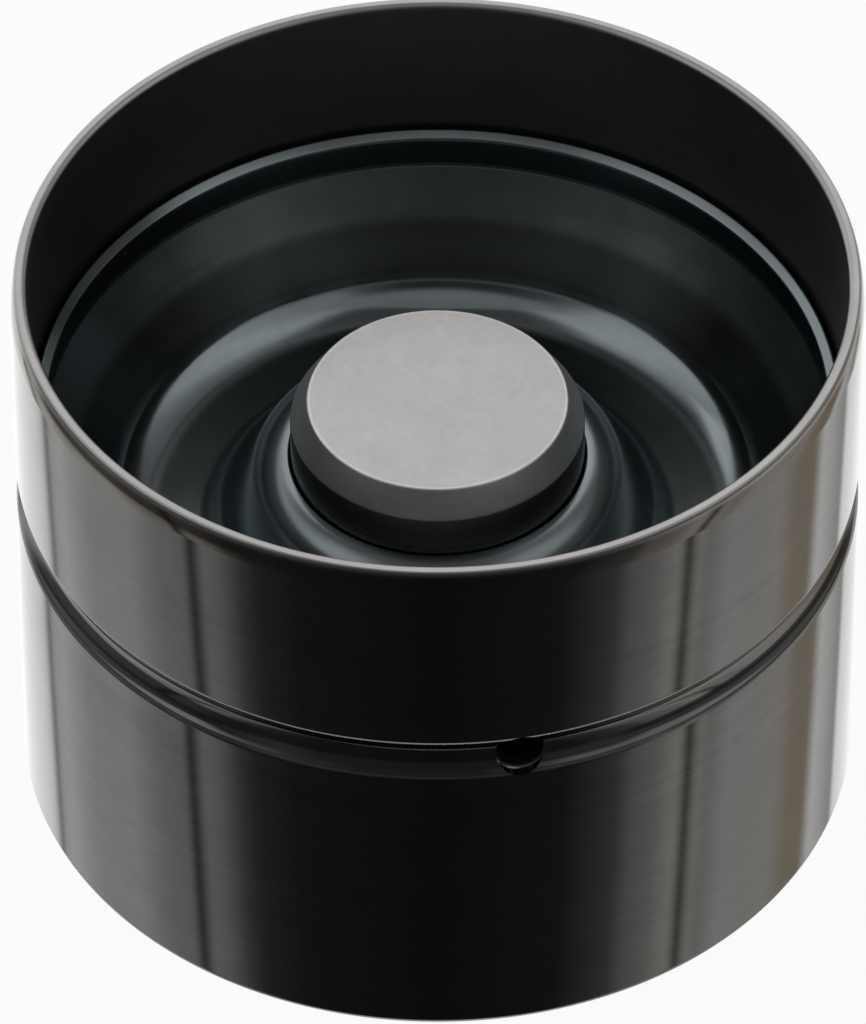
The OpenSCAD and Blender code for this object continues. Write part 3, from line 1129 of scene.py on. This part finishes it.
@dataclass
class Studio:
    """Floor, studio light and camera.

    Attributes:
        azimuth: The camera's direction round the lifter, in degrees from -Y towards +X.
        elevation: The camera's height above the horizon, in degrees.
        distance: From the camera to the target.
        target_z: Height of the target on the axis.
        focal_px: Focal length in pixels of the photograph.
        target_px: Where the target lies in the photograph.
        image_px: The photograph's size.
        sensor: Width of the camera's sensor.
        floor_size: Side of the floor, in metres.
        floor_white: Share of plain white in how the camera sees the floor.
        above: What surrounds the lifter high above the horizon.
        around: What surrounds it just above the horizon.
        below: What surrounds it below the horizon.
        horizon: Elevations in degrees between which below gives way to around.
        upper: Elevations between which around gives way to above.
        upper_front: The same on the camera's side.
        front: First and last bearing of the camera's side, as shares of one turn.
        front_soft: How far that side fades.
        patches: What covers the surroundings, in order: a dark strip at the left and one at the right, the
            panel at the left behind the lifter, what is overhead, the canopy high on the camera's side, and
            what is straight below.
    """

    azimuth: float = -11.3
    elevation: float = 43.864
    distance: float = 500.0
    target_z: float = 13.0
    focal_px: float = 12002.4
    target_px: Pair = (437.51, 507.18)
    image_px: tuple[int, int] = (866, 1024)
    sensor: float = 36.0
    floor_size: float = 4.0
    floor_white: float = 0.95
    above: tuple[Tone, ...] = (
        Tone(-160, 1.05), Tone(-152, 0.12), Tone(-144, 0.08), Tone(-136, 0.13), Tone(-128, 0.29),
        Tone(-121, 0.42), Tone(-104, 0.66), Tone(-87, 0.70), Tone(-59, 0.56), Tone(-50, 0.26),
        Tone(-38, 0.10), Tone(-20, 0.05), Tone(12, 0.05), Tone(28, 0.15), Tone(37, 0.36),
        Tone(50, 0.38), Tone(69, 0.55), Tone(82, 0.66), Tone(104, 0.60), Tone(117, 0.38),
        Tone(132, 0.25), Tone(150, 0.22), Tone(160, 1.05),
    )
    around: tuple[Tone, ...] = (
        Tone(-128, 0.95), Tone(-115, 0.35), Tone(-84, 0.14), Tone(-58, 0.05), Tone(-48, 0.08),
        Tone(-38, 0.09), Tone(-28, 0.05), Tone(0, 0.035), Tone(24, 0.05), Tone(34, 0.08),
        Tone(44, 0.11), Tone(60, 0.12), Tone(90, 0.20), Tone(128, 0.30), Tone(150, 0.40),
        Tone(165, 0.95),
    )
    below: tuple[Tone, ...] = (
        Tone(-141, 1.25), Tone(-136, 1.1), Tone(-132.4, 0.25), Tone(-130, 0.72), Tone(-124, 0.86),
        Tone(-110, 0.66), Tone(-93, 0.70), Tone(-81, 0.45), Tone(-73.0, 0.40), Tone(-70.1, 0.02),
        Tone(-66.5, 0.44), Tone(-61.7, 0.36), Tone(-55, 0.13), Tone(-50, 0.06), Tone(-38, 0.028),
        Tone(0, 0.017), Tone(34, 0.028), Tone(43, 0.075), Tone(49.5, 0.12), Tone(54, 0.27),
        Tone(61, 0.36, 0.1), Tone(68.5, 0.62, 0.1), Tone(71.8, 0.06, 0.9), Tone(75, 0.58, 0.2),
        Tone(79, 0.46), Tone(86, 0.64), Tone(107, 0.58, 0.2), Tone(114.5, 0.40, 1.0),
        Tone(124, 0.34, 1.0), Tone(129, 0.95), Tone(144.6, 0.40), Tone(147.5, 1.15),
    )
    horizon: Pair = (-10.0, 4.0)
    upper: Pair = (18.0, 25.0)
    upper_front: Pair = (25.0, 33.0)
    front: Pair = (0.34, 0.64)
    front_soft: float = 0.015
    patches: tuple[Patch, ...] = (
        Patch(0.03, ((-36.0, -30.0), (10.0, 2.0)), (0.165, 0.38), share=0.8),
        Patch(0.03, ((-16.0, -10.0), (10.0, 2.0)), (0.62, 0.85), share=0.8),
        Patch(0.85, ((16.0, 20.0), (49.0, 43.0)), (0.045, 0.172), 0.012),
        Patch(0.12, ((66.0, 76.0),)),
        Patch(0.32, ((48.0, 62.0),), front, front_soft),
        Patch(0.9, ((-66.0, -78.0),)),
    )

    def build(self) -> None:
        """Set the camera, the floor and the light."""
        scene = bpy.context.scene
        scene.view_settings.view_transform = "Standard"
        self._camera(scene)
        self._floor()
        self._light(scene)

    def _camera(self, scene: bpy.types.Scene) -> None:
        """Place the camera as in the photograph."""
        width, height = self.image_px
        data = bpy.data.cameras.new("camera")
        camera = bpy.data.objects.new("camera", data)
        scene.collection.objects.link(camera)
        turn = math.radians(self.azimuth)
        rise = math.radians(self.elevation)
        away = Vector((math.sin(turn) * math.cos(rise), -math.cos(turn) * math.cos(rise), math.sin(rise)))
        camera.location = Vector((0.0, 0.0, self.target_z * MM)) + away * self.distance * MM
        camera.rotation_euler = away.to_track_quat("Z", "Y").to_euler()
        data.sensor_fit = "AUTO"
        data.sensor_width = self.sensor
        data.lens = self.focal_px / height * self.sensor
        data.shift_x = (width / 2 - self.target_px[0]) / height
        data.shift_y = (self.target_px[1] - height / 2) / height
        data.clip_start = 0.01
        data.clip_end = 20.0
        scene.camera = camera

    def _floor(self) -> None:
        """Lay a plain pale floor, which the steel doesn't mirror."""
        bm = bmesh.new()
        bmesh.ops.create_grid(bm, x_segments=1, y_segments=1, size=self.floor_size / 2)
        floor = Workshop.finish(bm, "floor")
        made = bpy.data.materials.new("pale_floor")
        made.use_nodes = True
        graph = Graph(made.node_tree)
        seen = graph.add("LightPath", {}, {}, "Is Camera Ray")
        plain = graph.add("BsdfDiffuse", {}, {"Color": gray(0.9)})
        white = graph.add("Emission", {}, {"Color": WHITE, "Strength": 1.0})
        mixed = graph.add("MixShader", {}, {0: seen * self.floor_white, 1: plain, 2: white})
        graph.add("OutputMaterial", {}, {"Surface": mixed})
        floor.data.materials.append(made)
        floor.visible_glossy = False

    def _light(self, scene: bpy.types.Scene) -> None:
        """Surround the lifter with soft panels, dark on the camera's side."""
        world = bpy.data.worlds.new("studio")
        scene.world = world
        world.use_nodes = True
        graph = Graph(world.node_tree)
        direction = graph.add("TexCoord", {}, {}, "Generated")
        inputs = {"Vector": direction, "Angle": -math.radians(self.azimuth)}
        facing = graph.add("VectorRotate", {"rotation_type": "Z_AXIS"}, inputs)
        x, y, z = graph.axes(facing)
        turn = x.angle_from(0.0 - y) / (2 * math.pi) + 0.5
        above, around, below = (
            graph.add("ValToRGB", {"stops": [tone.stop() for tone in tones]}, {0: turn})
            for tones in (self.above, self.around, self.below)
        )
        front = turn.band(*self.front, self.front_soft)
        upper = rising(z, *self.upper) * (1.0 - front) + rising(z, *self.upper_front) * front
        light = graph.mix(rising(z, *self.horizon), below, around)
        light = graph.mix(upper, light, above)
        for patch in self.patches:
            light = graph.mix(patch.mask(turn, z), light, gray(patch.level))
        seen = graph.add("LightPath", {}, {}, "Is Camera Ray")
        light = graph.mix(seen, light, WHITE)
        background = graph.add("Background", {}, {"Color": light, "Strength": 1.0})
        graph.add("OutputWorld", {}, {"Surface": background})


def main() -> None:
    """Load the frame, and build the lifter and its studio."""
    logging.basicConfig(level=logging.INFO, format="%(name)s: %(message)s")
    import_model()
    Studio().build()
    Bucket().build()
    Guide().build()
    Plunger().build()
    CheckValve().build()
    ReturnSpring().build()


if __name__ == "__main__":
    main()
